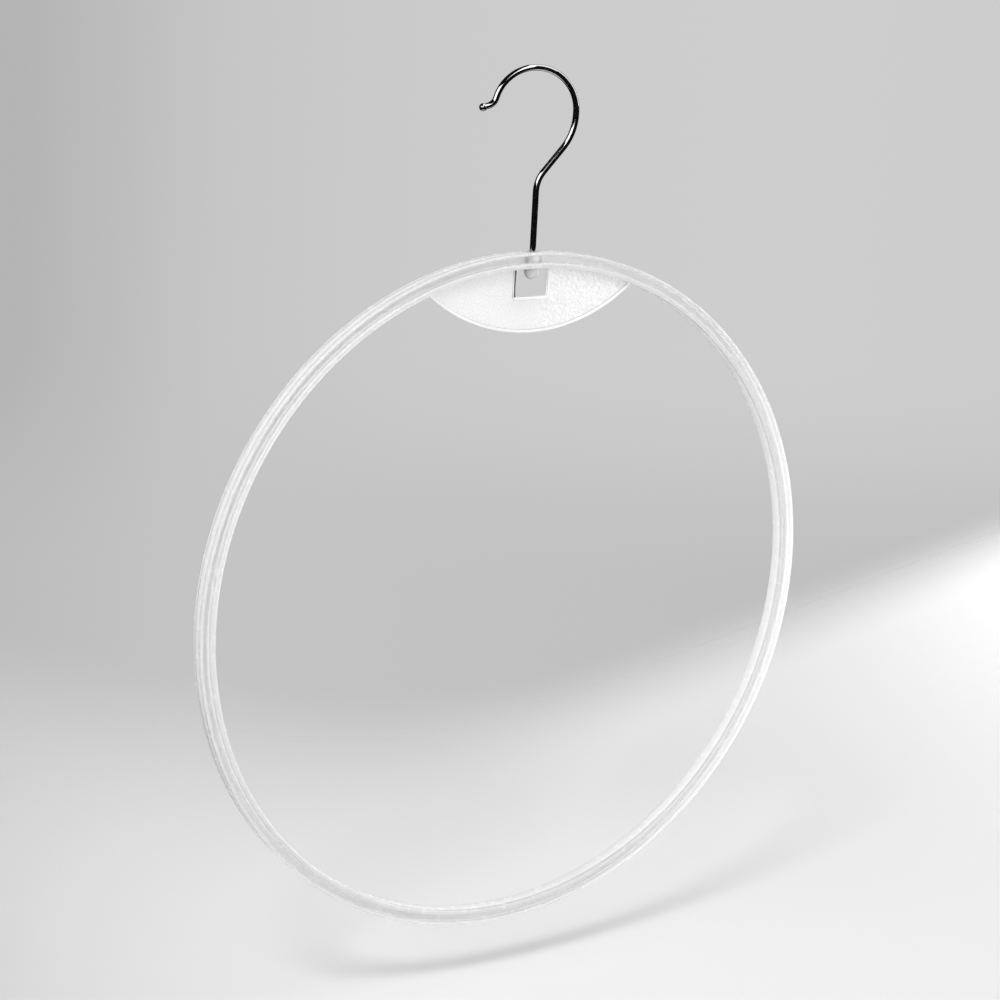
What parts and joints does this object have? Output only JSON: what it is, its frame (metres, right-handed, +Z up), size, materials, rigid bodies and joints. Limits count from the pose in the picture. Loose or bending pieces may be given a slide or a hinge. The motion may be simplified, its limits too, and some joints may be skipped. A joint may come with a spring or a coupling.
{
  "type": "round hanger",
  "caption": "Round hanger: a frosted plastic hoop with a framed label plate and window, swivelling on a bent chromed wire hook with a ball tip.",
  "frame": {"origin": "on the swivel's axis, on the underside of the hook's crook, where the rail carries the hanger", "axes": "+Z up along the swivel's axis, -Y out of the hoop's front, +X to the right as seen from the front"},
  "size_m": [0.34, 0.0186, 0.4273],
  "materials": {
    "polished_chrome": "polished plating on drawn steel wire",
    "natural_polypropylene": "unpigmented, cloudy and half clear, with a fine moulded texture on the label plate"
  },
  "bodies": {
    "hook": {"wire_hook": "polished_chrome"},
    "hoop": {"moulded_hoop": "natural_polypropylene"}
  },
  "joints": [
    {"name": "hoop_swivel", "type": "hinge", "parent": "hook", "child": "hoop", "pos_m": [0, 0, -0.0875], "axis": [0, 0, 1], "continuous": true}
  ]
}
